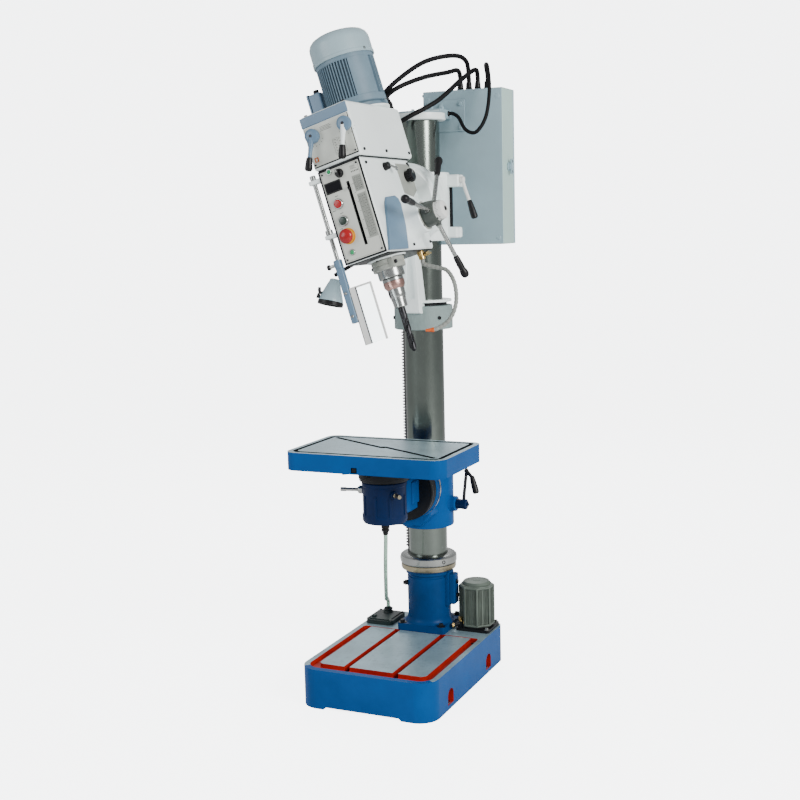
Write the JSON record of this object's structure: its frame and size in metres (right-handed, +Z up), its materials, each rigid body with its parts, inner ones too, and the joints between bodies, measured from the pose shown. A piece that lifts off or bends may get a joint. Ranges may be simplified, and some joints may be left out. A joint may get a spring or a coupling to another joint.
{
  "type": "drill press",
  "caption": "Floor-standing round-column drill press with a tilting geared head, swinging and tilting table, coolant pump and electrical cabinet.",
  "frame": {"origin": "on the floor, on the column axis", "axes": "+Z up along the column; -Y is the front, where the operator stands; +X is the side of the feed levers"},
  "size_m": [0.4952, 0.7363, 1.9455],
  "materials": {
    "blue_paint": "gloss",
    "grey_paint": "semi-gloss",
    "blue_grey_paint": "semi-gloss",
    "panel_beige": "satin",
    "steel": "ground",
    "dark_steel": "blackened",
    "aluminium": "cast, painted grey",
    "brass": "machined",
    "black_plastic": "gloss",
    "black_rubber": "matte",
    "white_plastic": "gloss",
    "red_plastic": "gloss",
    "green_plastic": "gloss",
    "clear_plastic": "clear polycarbonate",
    "hose_green": "translucent"
  },
  "bodies": {
    "base": {"base_casting": "blue_paint", "sump_cover": "black_plastic", "coolant_pump_base": "black_plastic", "coolant_pump_motor": "aluminium", "column_foot": "blue_paint", "column_tube": "steel", "column_cap": "grey_paint", "cabinet_body": "blue_grey_paint", "contactor_panel": "steel", "arm_cable": "black_rubber"},
    "cabinet_door": {"cabinet_door": "blue_grey_paint"},
    "cabinet_latch": {"cabinet_latch": "black_plastic"},
    "rack": {"rack_ring": "steel", "column_rack": "dark_steel"},
    "table_bracket": {"table_bracket": "blue_paint", "drain_hose": "hose_green"},
    "elevating_crank": {"elevating_crank": "dark_steel"},
    "table_arm": {"table_arm": "blue_paint"},
    "table_clamp": {"table_clamp_lever": "steel"},
    "table": {"table_top": "blue_paint"},
    "head_bracket": {"head_bracket": "grey_paint", "head_cable_1": "black_rubber", "head_cable_2": "black_rubber", "head_cable_3": "black_rubber"},
    "head_clamp": {"head_clamp_lever": "steel"},
    "head": {"lower_housing": "grey_paint", "upper_housing": "grey_paint", "control_panel": "panel_beige", "speed_panel": "panel_beige", "motor_body": "aluminium", "motor_cowl": "blue_grey_paint", "terminal_box": "blue_grey_paint", "guard_rod": "steel", "lamp_arm": "black_rubber", "coolant_hose": "white_plastic"},
    "motor_rotor": {"motor_rotor": "dark_steel"},
    "spindle_gear": {"spindle_gear": "dark_steel"},
    "quill": {"quill": "steel", "depth_pointer": "red_plastic"},
    "spindle": {"spindle": "steel", "twist_drill": "dark_steel"},
    "feed_hub": {"feed_hub": "dark_steel", "feed_lever_1": "steel", "feed_lever_2": "steel", "feed_lever_3": "steel", "feed_grip_1": "black_plastic", "feed_grip_2": "black_plastic", "feed_grip_3": "black_plastic"},
    "shift_left": {"shift_lever_left": "blue_grey_paint"},
    "shift_right": {"shift_lever_right": "blue_grey_paint"},
    "selector": {"selector_knob": "black_plastic"},
    "stop_button": {"stop_button": "red_plastic"},
    "start_button": {"start_button": "green_plastic"},
    "emergency_stop": {"emergency_stop": "red_plastic"},
    "speed_knob": {"speed_knob": "black_plastic"},
    "feed_selector": {"feed_selector": "black_plastic"},
    "guard": {"guard_arm": "blue_grey_paint", "guard_shield": "clear_plastic"},
    "lamp": {"lamp_shade": "blue_grey_paint"},
    "coolant_tap": {"coolant_tap": "brass"}
  },
  "joints": [
    {"name": "door_hinge", "type": "hinge", "parent": "base", "child": "cabinet_door", "pos_m": [-0.03, 0.2093, 1.555], "axis": [0, 0, 1], "range_deg": [0, 110]},
    {"name": "latch_turn", "type": "hinge", "parent": "base", "child": "cabinet_latch", "pos_m": [0.2303, 0.15, 1.555], "axis": [1, 0, 0], "range_deg": [0, 90]},
    {"name": "table_swing", "type": "hinge", "parent": "base", "child": "rack", "pos_m": [0, 0, 0.335], "axis": [0, 0, 1], "range_deg": [-90, 90], "deforming": ["drain_hose"]},
    {"name": "table_lift", "type": "slide", "parent": "rack", "child": "table_bracket", "axis": [0, 0, 1], "range_m": [-0.08, 0.25], "deforming": ["drain_hose"]},
    {"name": "elevating_crank_turn", "type": "hinge", "parent": "table_bracket", "child": "elevating_crank", "pos_m": [0.1003, 0, 0.52], "axis": [1, 0, 0], "range_deg": [-370, 1160]},
    {"name": "table_tilt", "type": "hinge", "parent": "table_bracket", "child": "table_arm", "pos_m": [0, -0.1503, 0.594], "axis": [0, 1, 0], "range_deg": [-45, 45], "deforming": ["drain_hose"]},
    {"name": "table_clamp_turn", "type": "hinge", "parent": "table_arm", "child": "table_clamp", "pos_m": [-0.0668, -0.3154, 0.618], "axis": [-1, 0, 0], "range_deg": [-50, 50]},
    {"name": "table_turn", "type": "hinge", "parent": "table_arm", "child": "table", "pos_m": [0, -0.3154, 0.7477], "axis": [0, 0, 1], "range_deg": [-30, 30]},
    {"name": "head_lift", "type": "slide", "parent": "base", "child": "head_bracket", "axis": [0, 0, 1], "range_m": [0, 0.11], "deforming": ["head_cable_1", "head_cable_2", "head_cable_3"]},
    {"name": "head_clamp_turn", "type": "hinge", "parent": "head_bracket", "child": "head_clamp", "pos_m": [0.1243, 0.01, 1.516], "axis": [1, 0, 0], "range_deg": [-10, 30]},
    {"name": "head_tilt", "type": "hinge", "parent": "head_bracket", "child": "head", "pos_m": [0, -0.135, 1.445], "axis": [0, 1, 0], "range_deg": [-28, 62], "deforming": ["head_cable_1", "head_cable_2", "head_cable_3"]},
    {"name": "spindle_drive", "type": "hinge", "parent": "head", "child": "spindle_gear", "pos_m": [-0.03976, -0.36, 1.57506], "axis": [-0.2924, 0, 0.9563], "continuous": true},
    {"name": "motor_turn", "type": "hinge", "parent": "head", "child": "motor_rotor", "pos_m": [-0.03976, -0.246, 1.57506], "axis": [-0.2924, 0, 0.9563], "continuous": true},
    {"name": "quill_feed", "type": "slide", "parent": "head", "child": "quill", "axis": [0.2924, 0, -0.9563], "range_m": [0, 0.13]},
    {"name": "spindle_turn", "type": "hinge", "parent": "quill", "child": "spindle", "pos_m": [0.05847, -0.36, 1.25374], "axis": [-0.2924, 0, 0.9563], "continuous": true},
    {"name": "feed_turn", "type": "hinge", "parent": "head", "child": "feed_hub", "pos_m": [0.14479, -0.27, 1.41607], "axis": [0.9563, 0, 0.2924], "range_deg": [-2, 242]},
    {"name": "shift_left_turn", "type": "hinge", "parent": "head", "child": "shift_left", "pos_m": [-0.10231, -0.4896, 1.62913], "axis": [0, 1, 0], "range_deg": [-30, 30]},
    {"name": "shift_right_turn", "type": "hinge", "parent": "head", "child": "shift_right", "pos_m": [-0.00476, -0.4896, 1.65896], "axis": [0, 1, 0], "range_deg": [-30, 30]},
    {"name": "selector_turn", "type": "hinge", "parent": "head", "child": "selector", "pos_m": [-0.02764, -0.4896, 1.52857], "axis": [0, 1, 0], "range_deg": [-45, 45]},
    {"name": "stop_press", "type": "slide", "parent": "head", "child": "stop_button", "axis": [0, 1, 0], "range_m": [0, 0.0025], "stiffness_N_per_m": 400},
    {"name": "start_press", "type": "slide", "parent": "head", "child": "start_button", "axis": [0, 1, 0], "range_m": [0, 0.0025], "stiffness_N_per_m": 400},
    {"name": "emergency_press", "type": "slide", "parent": "head", "child": "emergency_stop", "axis": [0, 1, 0], "range_m": [0, 0.005], "stiffness_N_per_m": 600},
    {"name": "speed_knob_turn", "type": "hinge", "parent": "head", "child": "speed_knob", "pos_m": [0.04017, -0.345, 1.54721], "axis": [0.9563, 0, 0.2924], "range_deg": [-60, 60]},
    {"name": "feed_selector_turn", "type": "hinge", "parent": "head", "child": "feed_selector", "pos_m": [0.04777, -0.215, 1.52235], "axis": [0.9563, 0, 0.2924], "range_deg": [-90, 90]},
    {"name": "guard_swing", "type": "hinge", "parent": "head", "child": "guard", "pos_m": [-0.02759, -0.476, 1.22743], "axis": [-0.2924, 0, 0.9563], "range_deg": [-110, 0]},
    {"name": "lamp_tilt", "type": "hinge", "parent": "head", "child": "lamp", "pos_m": [-0.13878, -0.32, 1.23369], "axis": [0, 1, 0], "range_deg": [-30, 20]},
    {"name": "coolant_tap_turn", "type": "hinge", "parent": "head", "child": "coolant_tap", "pos_m": [0.102, -0.22, 1.30051], "axis": [0.9563, 0, 0.2924], "range_deg": [0, 90]}
  ],
  "couplings": [
    {"joint": "elevating_crank_turn", "follows": "table_lift", "rad_per_m": 80},
    {"joint": "feed_turn", "follows": "quill_feed", "rad_per_m": 32.221},
    {"joint": "motor_turn", "follows": "spindle_drive", "ratio": -1.1111},
    {"joint": "spindle_turn", "follows": "spindle_drive", "ratio": 1}
  ]
}
